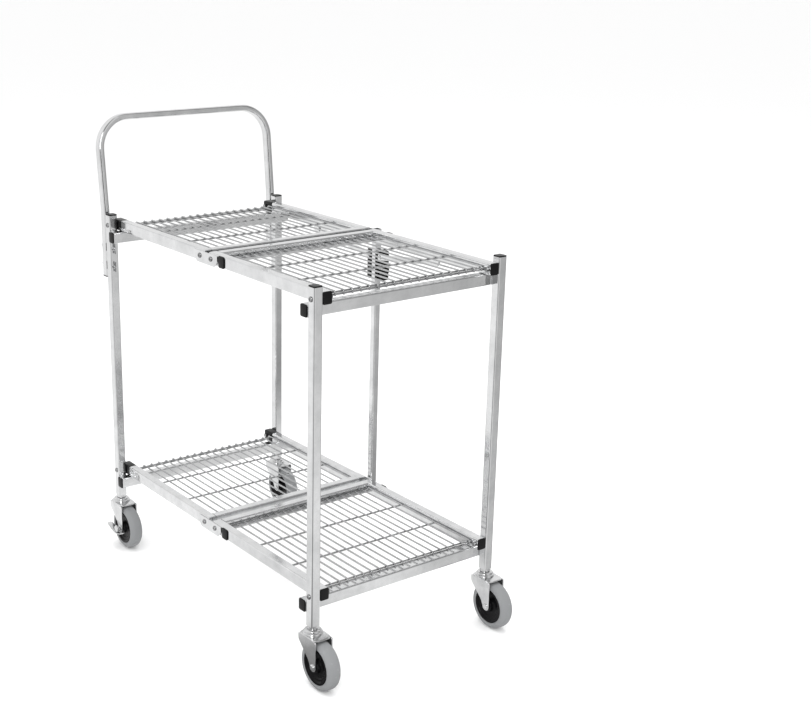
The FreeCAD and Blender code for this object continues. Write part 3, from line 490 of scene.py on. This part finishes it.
def crown_plate(swivel_x, y, steps=48):
    """Four superellipse rings one above another, the outer two drawn in for a soft rim."""
    turn = np.linspace(0, 2 * math.pi, steps, endpoint=False)
    middle = swivel_x + (CROWN_FRONT + CROWN_BACK) / 2
    away_x = (CROWN_FRONT - CROWN_BACK) / 2 * rounded_power(np.cos(turn), 0.42)
    away_y = CROWN_HALF_WIDTH * rounded_power(np.sin(turn), 0.42)
    rings = [(0.97, 2.5 * MM), (1.0, 1.8 * MM), (1.0, 0.8 * MM), (0.965, 0)]
    points = [np.stack([middle + away_x * k, y + away_y * k, np.full(steps, CROWN_TOP - below)], 1)
              for k, below in rings]
    return np.concatenate(points), grid_quads(4, steps), end_caps(4, steps)


def ball_race(swivel_x, y):
    """Two raised rings on the crown, as a profile of (radius, height above the crown)."""
    profile = [(STEM_BORE, -1.2 * MM), (19.6 * MM, -1.2 * MM), (20 * MM, 1 * MM), (19.2 * MM, 3.2 * MM),
               (16.6 * MM, 4 * MM), (16.9 * MM, 5.2 * MM), (16.2 * MM, 7.4 * MM), (12.6 * MM, 9 * MM),
               (STEM_BORE, 9 * MM)]
    return lathe(soft_profile(profile, 0.8 * MM), (swivel_x, y, CROWN_TOP), axis="z", steps=56)


def axle_parts(centre):
    """A domed head on each side and the pin between them, turned about the axle."""
    parts = []
    for way in (-1, 1):
        start = way * CROWN_HALF_WIDTH
        dome = [(NEAR_AXIS, start), (6.5 * MM, start), (6.5 * MM, start + way * 1.4 * MM),
                (4.6 * MM, start + way * 2.6 * MM), (NEAR_AXIS, start + way * 3 * MM)]
        parts.append(lathe(soft_profile(dome, 0.7 * MM), centre, steps=32))
    reach = 20.4 * MM
    pin = [(NEAR_AXIS, -reach), (4 * MM, -reach), (4 * MM, reach), (NEAR_AXIS, reach)]
    return parts + [lathe(pin, centre, steps=24)]


def caster_fork(end_name, side_name):
    """Two cheeks, a crown, a ball race and an axle with domed ends, all placed from the wheel's middle."""
    label = f"{end_name}_{side_name}"
    axle = middle_of(label + "_tyre")
    swivel_x = axle.x - TRAIL
    outline = cheek_outline(swivel_x)
    shapes = [plate_solid(outline, CHEEK, (0, axle.y + way * (CHEEK_INSIDE + CHEEK / 2), 0), 0.6 * MM)
              for way in (-1, 1)]
    shapes += [crown_plate(swivel_x, axle.y), ball_race(swivel_x, axle.y), *axle_parts(axle)]
    mesh_piece(f"fork_{label}", join_shapes(shapes), label + "_swivel", FINISH["zinc_steel"],
               [label + "_fork"])


for end_name in ENDS:
    for side_name in SIDES:
        caster_fork(end_name, side_name)
print("forks pressed")

# %% [markdown]
# Bolts have low button heads with a round socket, and the pivot bolts have a nut inside. A head is a
# turned profile with a recess in the middle. The pivots' places come from the joints of the model.

# %% Bolts
PIVOTS = {joint["name"]: joint["pos_m"] for joint in frame["joints"] if "pos_m" in joint}
LEVEL_Z = {"upper": PIVOTS["shelf_fold"][2], "lower": PIVOTS["lower_rear_fold"][2]}
END_X = {"rear": PIVOTS["shelf_fold"][0], "front": PIVOTS["front_frame_upright"][0]}
HINGE_X = {"rear": PIVOTS["post_upright"][0], "front": PIVOTS["upper_front_fold"][0]}
LEG_FACE, HINGE_FACE, NUT_FACE = 230 * MM, 213 * MM, 186.2 * MM
LEG_BOLT, HINGE_BOLT, NUT_RADIUS, NUT_DEPTH = 45 * MM, 14 * MM, 5.1 * MM, 4.4 * MM


def button_bolt(x, face_y, z, length, nut_at=None):
    """Head, socket and shank along Y. The face's sign of Y says which way the head looks."""
    way = 1 if face_y > 0 else -1
    head = [(3 * MM, -0.2 * MM), (5.5 * MM, 0), (5.45 * MM, 0.7 * MM), (4.6 * MM, 2.1 * MM), (3.2 * MM, 2.9 * MM),
            (2.2 * MM, 3 * MM), (2.0 * MM, 1.4 * MM), (NEAR_AXIS / 2, 1.2 * MM), (NEAR_AXIS / 2, -length),
            (3 * MM, -length)]
    profile = [(radius, face_y + way * along) for radius, along in soft_profile(head, 0.35 * MM, 3)]
    shapes = [lathe(profile, (x, 0, z), steps=24)]
    if nut_at is not None:
        turn = np.linspace(0, 2 * math.pi, 6, endpoint=False)
        hexagon = np.stack([x + NUT_RADIUS * np.cos(turn), z + NUT_RADIUS * np.sin(turn)], 1)
        shapes.append(plate_solid(soft_profile(hexagon, 0.8 * MM, 3), NUT_DEPTH, (0, nut_at, 0), 0.4 * MM))
    return shapes


def bolt_set(name, source, body, spots):
    """One piece with several bolts, which stands for the plain bolts of a body."""
    shapes = [shape for spot in spots for shape in button_bolt(*spot)]
    mesh_piece(name, join_shapes(shapes), body, BOLT, [source])


for end_name, x in END_X.items():
    spots = [(x, way * LEG_FACE, z, LEG_BOLT, way * NUT_FACE) for z in LEVEL_Z.values() for way in (-1, 1)]
    bolt_set(f"pivot_bolts_{end_name}", f"{end_name}_pivot_bolts", f"{end_name}_frame", spots)
for level_name, z in LEVEL_Z.items():
    spots = [(x, -HINGE_FACE, z, HINGE_BOLT) for x in HINGE_X.values()]
    bolt_set(f"hinge_bolts_{level_name}", f"{level_name}_hinge_bolts_right", f"{level_name}_right_hinge", spots)
spots = [(x, HINGE_FACE, z, HINGE_BOLT) for z in LEVEL_Z.values() for x in HINGE_X.values()]
bolt_set("hinge_bolts_post", "hinge_bolts_left", "latch_post", spots)
print("bolts at", LEVEL_Z, END_X, HINGE_X)

# %% [markdown]
# The middle hinge is a flat plate with cut lower corners. Its edges are slightly rounded from the
# tumbling barrel, and that soft edge is what catches the light.

# %% Hinge plates
def hinge_plate(level_name, side_name, body):
    """The plate's outline with rounded corners, set on the middle of the plain plate's box."""
    source = f"{level_name}_hinge_plate_{side_name}"
    low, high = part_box(source)
    cut = 12 * MM
    corners = [(low.x, high.z), (low.x, high.z - cut), (low.x + cut, low.z), (high.x - cut, low.z),
               (high.x, high.z - cut), (high.x, high.z)]
    outline = soft_profile(corners, 2.5 * MM, 4)
    plate = plate_solid(outline, high.y - low.y, (0, (low.y + high.y) / 2, 0), 0.55 * MM)
    mesh_piece(f"plate_{level_name}_{side_name}", plate, body, FINISH["bright_steel"], [source])


for level_name in LEVELS:
    hinge_plate(level_name, "left", "latch_post")
    hinge_plate(level_name, "right", f"{level_name}_right_hinge")
print("hinge plates cut")

# %% [markdown]
# The legs and crossbars are closed with black moulded caps. At the legs the rails end in moulded
# blocks or caps, and at the middle hinge they are closed with a welded steel plate. Each front half
# also has a bumper on the rail. All of these have a crowned face and round corners: a rounded outline
# carried along an axis, and drawn in towards each end along a quarter circle.

# %% Soft blocks
def rounded_rectangle(half_one, half_two, corner):
    """Four quarter circles, one in each corner, as one closed outline about the origin."""
    turn = np.linspace(0, math.pi / 2, 6)
    arc = np.stack([np.cos(turn), np.sin(turn)], 1) - 1
    quarters = []
    for index, sign in enumerate([(1, 1), (-1, 1), (-1, -1), (1, -1)]):
        quarter = arc if index % 2 == 0 else arc[::-1]
        quarters.append(np.array([half_one, half_two]) * sign + quarter * corner * sign)
    return np.concatenate(quarters)


def soft_block(axis, low, high, corner, edge, ends=(True, True)):
    """A block with rounded corners round its axis and a quarter-round rim at each chosen end."""
    low, high = np.asarray(low, float), np.asarray(high, float)
    along = "xyz".index(axis)
    across = [i for i in range(3) if i != along]
    half = (high - low) / 2
    ring = rounded_rectangle(*half[across], corner)
    swing = np.linspace(0, math.pi / 2, 5)
    inset, travel = edge * (1 - np.sin(swing)), edge * (1 - np.cos(swing))
    length = high[along] - low[along]
    start = list(zip(inset, travel)) if ends[0] else [(0, 0)]
    stop = list(zip(inset[::-1], length - travel[::-1])) if ends[1] else [(0, length)]
    reach = np.linalg.norm(ring, axis=1, keepdims=True)
    layers = []
    for shrink, place in start + stop:
        layer = np.zeros((len(ring), 3))
        layer[:, across] = ring * (1 - shrink / reach) + (low + half)[across]
        layer[:, along] = low[along] + place
        layers.append(layer)
    return np.concatenate(layers), grid_quads(len(layers), len(ring)), end_caps(len(layers), len(ring))


def block_set(name, body, blocks, stands_for=(), finish="black_plastic"):
    """One piece made of several soft blocks of the same body."""
    shape = join_shapes([soft_block(*block) for block in blocks])
    mesh_piece(name, shape, body, FINISH[finish], stands_for)


# %% [markdown]
# A cap has the outline of its tube and stands on the tube's end face. Making it from the tube's own
# box keeps it in line with the tube.

# %% Caps on legs and crossbars
CAP, CAP_CORNER, CAP_EDGE, LEG_CAP_EDGE = 2.5 * MM, 3.2 * MM, 1.2 * MM, 1.1 * MM
for end_name in ENDS:
    blocks = []
    for level_name in LEVELS:
        low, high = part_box(f"{end_name}_{level_name}_crossbar")
        for y in (high.y, low.y - CAP):
            blocks.append(("y", (low.x, y, low.z), (high.x, y + CAP, high.z), CAP_CORNER, CAP_EDGE))
    for side_name in SIDES:
        low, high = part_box(f"{end_name}_leg_{side_name}")
        blocks.append(("z", (low.x, low.y, high.z), (high.x, high.y, high.z + CAP), CAP_CORNER, LEG_CAP_EDGE))
    block_set(f"caps_{end_name}", f"{end_name}_frame", blocks, [f"{end_name}_caps"])

# %% [markdown]
# At the handle's end the plastic reaches far over the rail, because the leg's pivot runs through it.
# The bumper keeps the folded halves apart, and its flat side lies on the rail.

# %% Rail ends and bumpers
RAIL_LOW, RAIL_HIGH, RAIL_CORNER = 189.5 * MM, 209.5 * MM, 3 * MM
PIVOT_BLOCK, BUMPER_OFFSET, BUMPER_HALF = 36 * MM, 37 * MM, 10 * MM


def rail_end(x_low, x_high, way, low, high):
    """A soft block over a rail's end, on the left or the right side."""
    near, far = sorted((way * RAIL_LOW, way * RAIL_HIGH))
    return "x", (x_low, near, low.z), (x_high, far, high.z), RAIL_CORNER, CAP_EDGE


def bumper(way, low, high):
    """A thin pad on the rail's outer face, rounded only on the side that looks away from the rail."""
    x = HINGE_X["front"] + BUMPER_OFFSET
    near, far = sorted((way * RAIL_HIGH, way * (RAIL_HIGH + CAP)))
    return ("y", (x - BUMPER_HALF, near, low.z), (x + BUMPER_HALF, far, high.z), 3.5 * MM, 1 * MM,
            (way < 0, way > 0))


for level_name in LEVELS:
    for end_name in ENDS:
        body = f"{level_name}_{end_name}_shelf"
        low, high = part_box(body + "_plastics")
        blocks, welded = [], []
        for way in (-1, 1):
            if end_name == "rear":
                blocks.append(rail_end(low.x, low.x + PIVOT_BLOCK, way, low, high))
                welded.append(rail_end(high.x - CAP, high.x, way, low, high))
            else:
                welded.append(rail_end(low.x, low.x + CAP, way, low, high))
                blocks += [rail_end(high.x - CAP, high.x, way, low, high), bumper(way, low, high)]
        block_set(f"ends_{level_name}_{end_name}", body, blocks, [body + "_plastics"])
        block_set(f"tube_ends_{level_name}_{end_name}", body, welded, finish="bright_steel")
print("plastic ends moulded")

# %% [markdown]
# The brake on a rear caster is a rocker pedal of pressed sheet: a shallow curved blade below the axle
# that rises behind and in front of it. Its height grows with the distance from the axle raised to a
# power between one and two, so it is flatter than a parabola at its tips.

# %% Brake pedals
BLADE_ROWS, BLADE_STEPS, BLADE_HALF_DEPTH = 40, 20, 1.2 * MM


def pedal_blade(low, high, axle):
    """Rings of a flattened superellipse along X, lifted by the curve and narrowed at the two tips."""
    x = np.linspace(low.x + 0.3 * MM, high.x - 0.3 * MM, BLADE_ROWS)
    rise = 12 * MM * np.abs((x - axle.x) / (40 * MM)) ** 1.35
    height = np.minimum(axle.z - 9.5 * MM + rise, high.z - 1.3 * MM)
    tip = np.minimum(1, np.minimum(x - x[0], x[-1] - x) / (6 * MM))
    half_width = (high.y - low.y) / 2 * (0.55 + 0.45 * np.sqrt(np.clip(1 - (1 - tip) ** 2, 0, 1)))
    turn = np.linspace(0, 2 * math.pi, BLADE_STEPS, endpoint=False)
    ring_y = rounded_power(np.cos(turn), 0.25)
    ring_z = BLADE_HALF_DEPTH * rounded_power(np.sin(turn), 0.7)
    points = np.stack([np.repeat(x[:, None], BLADE_STEPS, 1), (low.y + high.y) / 2 + half_width[:, None] * ring_y,
                       height[:, None] + ring_z], -1).reshape(-1, 3)
    return points, grid_quads(BLADE_ROWS, BLADE_STEPS), end_caps(BLADE_ROWS, BLADE_STEPS)


def brake_pedal(side_name):
    """The blade and the round boss that carries it on the axle."""
    source = f"rear_{side_name}_brake_pedal"
    low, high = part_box(source)
    axle = middle_of(f"rear_{side_name}_tyre")
    middle_y = (low.y + high.y) / 2
    face_y = middle_y + (1 if middle_y > 0 else -1) * MM
    boss = [(NEAR_AXIS, face_y - 3 * MM), (8 * MM, face_y - 3 * MM), (8.6 * MM, face_y),
            (6 * MM, face_y + 1.6 * MM), (NEAR_AXIS, face_y + 1.8 * MM)]
    shapes = [pedal_blade(low, high, axle), lathe(soft_profile(boss, 0.6 * MM), (axle.x, 0, axle.z), steps=32)]
    mesh_piece(f"pedal_{side_name}", join_shapes(shapes), f"rear_{side_name}_brake", FINISH["zinc_steel"],
               [source])


for side_name in SIDES:
    brake_pedal(side_name)
print("pedals pressed")

# %% [markdown]
# The fold latch slides on its bar. The collar is a moulded grip with raised ribs for the fingers, and
# the knob is a turned button with a groove round it.

# %% Fold latch
SLIDE_GAP, COLLAR_FACE, BOSS_REACH = 0.4 * MM, 216.5 * MM, 13.5 * MM
RIB_FIRST, RIB_PITCH, RIB_WIDTH, KNOB_DEPTH = 38 * MM, 5.2 * MM, 2.6 * MM, 14 * MM


def latch_grip():
    """Soft blocks beside and behind the bar, two bosses inwards, and a row of thin ribs."""
    low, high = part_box("latch_collar")
    bar_low, bar_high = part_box("latch_bar")
    near, far = bar_low.x - SLIDE_GAP, bar_high.x + SLIDE_GAP
    middle = (bar_low.x + bar_high.x) / 2
    blocks = [("z", (x_low, COLLAR_FACE, low.z), (x_high, high.y, high.z), 2 * MM, 1.5 * MM)
              for x_low, x_high in ((low.x, near), (far, high.x))]
    blocks.append(("z", (low.x + 1 * MM, bar_high.y + SLIDE_GAP, low.z), (high.x - 1 * MM, high.y, high.z),
                   2.5 * MM, 1.5 * MM))
    for x_low, x_high in ((middle - BOSS_REACH, near), (far, middle + BOSS_REACH)):
        blocks.append(("z", (x_low, low.y, low.z), (x_high, COLLAR_FACE + 1 * MM, high.z), 1 * MM, 0.8 * MM))
    for z in np.arange(low.z + RIB_FIRST, high.z - 4 * MM, RIB_PITCH):
        rib_low = (low.x + 3 * MM, high.y - 0.4 * MM, z)
        rib_high = (high.x - 3 * MM, high.y + 0.9 * MM, z + RIB_WIDTH)
        blocks.append(("y", rib_low, rib_high, 1.1 * MM, 0.8 * MM, (False, True)))
    block_set("latch_grip", "slider", blocks, ["latch_collar"])


def latch_button():
    """The knob's profile of (radius, along Y), turned about its stem."""
    low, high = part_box("latch_knob")
    grip = high.y - KNOB_DEPTH
    profile = [(NEAR_AXIS / 2, low.y), (3.9 * MM, low.y), (3.9 * MM, grip), (10.5 * MM, grip),
               (12.6 * MM, grip + 1.5 * MM), (12.2 * MM, grip + 4.5 * MM), (12.9 * MM, grip + 8 * MM),
               (12.6 * MM, grip + 12 * MM), (9.5 * MM, high.y), (6 * MM, high.y - 1.2 * MM),
               (NEAR_AXIS / 2, high.y - 1.6 * MM)]
    centre = ((low.x + high.x) / 2, 0, (low.z + high.z) / 2)
    mesh_piece("latch_button", lathe(soft_profile(profile, 1 * MM), centre, steps=56), "knob",
               FINISH["black_knob"], ["latch_knob"])


latch_grip()
latch_button()
print("latch moulded")

# %% [markdown]
# The crossbars are welded to the legs before plating. A weld is a small ridge whose height ripples
# from one pool to the next, so a wire is carried along each seam with a radius that goes up and down.

# %% Welds
WELD_STEPS, WELD_RADIUS, SEAM_IN = 33, 1.15 * MM, 0.3 * MM
WELD_NEAR, WELD_FAR = 210.6 * MM, 229 * MM


def weld(start, stop):
    """A thin round ridge: the radius is a cosine ripple times the root of a half sine from end to end."""
    step = np.arange(WELD_STEPS)
    ripple = 0.84 + 0.16 * np.cos(step * 1.6)
    ends = np.sqrt(np.clip(np.sin(np.pi * (step + 0.6) / 33.2), 0.05, 1))
    return sweep(np.linspace(start, stop, WELD_STEPS), WELD_RADIUS * ripple * ends)


for end_name in ENDS:
    welds = []
    for level_name in LEVELS:
        low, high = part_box(f"{end_name}_{level_name}_crossbar")
        seam_x = low.x if end_name == "rear" else high.x
        for way in (-1, 1):
            for seam_z in (high.z - SEAM_IN, low.z + SEAM_IN):
                welds.append(weld((seam_x, way * WELD_NEAR, seam_z), (seam_x, way * WELD_FAR, seam_z)))
    mesh_piece(f"welds_{end_name}", join_shapes(welds), f"{end_name}_frame", FINISH["zinc_steel"])
print("welds laid")

# %% [markdown]
# The picture needs a wide pale floor that fades into a pale background, soft light from large
# panels, and a camera a little above the upper shelf. Plated tube shows what is around it, so the
# metal mirrors a room that is mostly white, with a few dark walls that draw the dark lines along the
# tubes. Only mirrored rays see those walls. All other light comes from an even white sky.

# %% Surroundings that the metal mirrors
BANDS = [(0.0, 0.88), (0.09, 0.98), (0.15, 0.94), (0.21, 0.72), (0.26, 0.80), (0.32, 0.88), (0.36, 0.12),
         (0.42, 0.02), (0.48, 0.60), (0.54, 0.86), (0.575, 0.55), (0.61, 0.42), (0.66, 0.10), (0.73, 0.72),
         (0.85, 0.92), (1.0, 0.88)]  # (share of a full turn, brightness)


def room_bands(tree, direction):
    """Brightness of the room by compass direction: an angle round Z, read off a ramp of pale and dark."""
    split = tree.nodes.new("ShaderNodeSeparateXYZ")
    tree.links.new(direction, split.inputs[0])
    angle = math_node(tree, "ARCTAN2", split.outputs["Y"], split.outputs["X"])
    share = math_node(tree, "ADD", math_node(tree, "MULTIPLY", angle, 1 / (2 * math.pi)), 0.5)
    ramp = tree.nodes.new("ShaderNodeValToRGB")
    elements = ramp.color_ramp.elements
    while len(elements) < len(BANDS):
        elements.new(0.5)
    for element, (place, tone) in zip(elements, BANDS):
        element.position, element.color = place, (tone, tone, tone, 1)
    tree.links.new(share, ramp.inputs[0])
    return ramp.outputs[0]


# %% [markdown]
# The floor is one very large sheet, so its far edge is lost in the pale background. A shader that is
# matt to the eye and shows the room's walls to mirrored rays stands in for the walls themselves.

# %% Floor
MIRRORED_SHARE = 0.85


def studio_floor(half=40.0):
    """A wide pale sheet. What the metal mirrors of it follows the room's pale and dark walls."""
    mesh = bpy.data.meshes.new("floor")
    mesh.from_pydata([(-half, -half, 0), (half, -half, 0), (half, half, 0), (-half, half, 0)], [], [(0, 1, 2, 3)])
    floor = bpy.data.objects.new("floor", mesh)
    bpy.context.scene.collection.objects.link(floor)
    material = bpy.data.materials.new("pale_floor")
    material.use_nodes = True
    tree = material.node_tree
    shader = next(n for n in tree.nodes if n.type == "BSDF_PRINCIPLED")
    sink = next(n for n in tree.nodes if n.type == "OUTPUT_MATERIAL")
    shader.inputs["Base Color"].default_value = (0.95, 0.95, 0.95, 1)
    shader.inputs["Roughness"].default_value = 0.75
    place = tree.nodes.new("ShaderNodeTexCoord")
    mirrored = tree.nodes.new("ShaderNodeEmission")
    tree.links.new(room_bands(tree, place.outputs["Object"]), mirrored.inputs["Color"])
    ray = tree.nodes.new("ShaderNodeLightPath")
    mix = tree.nodes.new("ShaderNodeMixShader")
    tree.links.new(math_node(tree, "MULTIPLY", ray.outputs["Is Glossy Ray"], MIRRORED_SHARE), mix.inputs["Fac"])
    tree.links.new(shader.outputs[0], mix.inputs[1])
    tree.links.new(mirrored.outputs[0], mix.inputs[2])
    tree.links.new(mix.outputs[0], sink.inputs["Surface"])
    mesh.materials.append(material)
    return floor


studio_floor()

# %% [markdown]
# Two large panels give soft shadows under the wheels. The one overhead isn't shown in the metal,
# since it would wash out every face that looks up.

# %% Light
def panel(name, place, target, width, height, power, mirrored=True):
    """A rectangular light at a place, turned to look at a target, and shown or not in the metal."""
    data = bpy.data.lights.new(name, "AREA")
    data.shape = "RECTANGLE"
    data.size, data.size_y, data.energy = width, height, power
    light = bpy.data.objects.new(name, data)
    light.location = place
    light.rotation_euler = (Vector(target) - Vector(place)).to_track_quat("-Z", "Y").to_euler()
    light.visible_glossy = mirrored
    bpy.context.scene.collection.objects.link(light)


def studio_sky(strength):
    """An even white sky, except to mirrored rays, which see the room's walls."""
    world = bpy.data.worlds.new("studio")
    bpy.context.scene.world = world
    world.use_nodes = True
    sky = world.node_tree
    pale = sky.nodes["Background"]
    pale.inputs["Color"].default_value = (1, 1, 1, 1)
    pale.inputs["Strength"].default_value = strength
    walls = sky.nodes.new("ShaderNodeBackground")
    compass = sky.nodes.new("ShaderNodeTexCoord")
    sky.links.new(room_bands(sky, compass.outputs["Generated"]), walls.inputs["Color"])
    ray = sky.nodes.new("ShaderNodeLightPath")
    mix = sky.nodes.new("ShaderNodeMixShader")
    sky.links.new(ray.outputs["Is Glossy Ray"], mix.inputs["Fac"])
    sky.links.new(pale.outputs[0], mix.inputs[1])
    sky.links.new(walls.outputs[0], mix.inputs[2])
    sky.links.new(mix.outputs[0], sky.nodes["World Output"].inputs["Surface"])


studio_sky(1.06)
panel("overhead", (0.2, -0.2, 4.0), (0, 0, 0), 4.0, 4.0, 110, mirrored=False)
panel("key", (3.2, -3.0, 2.6), (0, 0, 0.5), 1.6, 2.6, 70)
bpy.context.scene.view_settings.view_transform = "Standard"
print("lights", [item.name for item in bpy.data.lights])

# %% [markdown]
# The camera stands to the front and right of the trolley. It's set by the direction that its back
# faces, which makes the right and the up direction follow from two cross products, and a small roll.

# %% Camera
SENSOR, LENS, SHIFT = 36, 60.5, (0.1095, -0.004)
CAMERA_PLACE, CAMERA_BACK, CAMERA_ROLL = (2.288, -1.576, 1.371), (0.7783, -0.5554, 0.2929), math.radians(0.47)


def add_camera():
    """A lens from the front right, with a sideways shift, so the trolley stands left of the middle."""
    data = bpy.data.cameras.new("camera")
    data.sensor_width, data.lens = SENSOR, LENS
    data.shift_x, data.shift_y = SHIFT
    camera = bpy.data.objects.new("camera", data)
    back = Vector(CAMERA_BACK).normalized()
    right = Vector((0, 0, 1)).cross(back).normalized()
    up = back.cross(right)
    turn = Matrix((right, up, back)).transposed().to_4x4() @ Matrix.Rotation(CAMERA_ROLL, 4, "Z")
    camera.matrix_world = Matrix.Translation(CAMERA_PLACE) @ turn
    bpy.context.scene.collection.objects.link(camera)
    bpy.context.scene.camera = camera


add_camera()
print("camera at", CAMERA_PLACE)
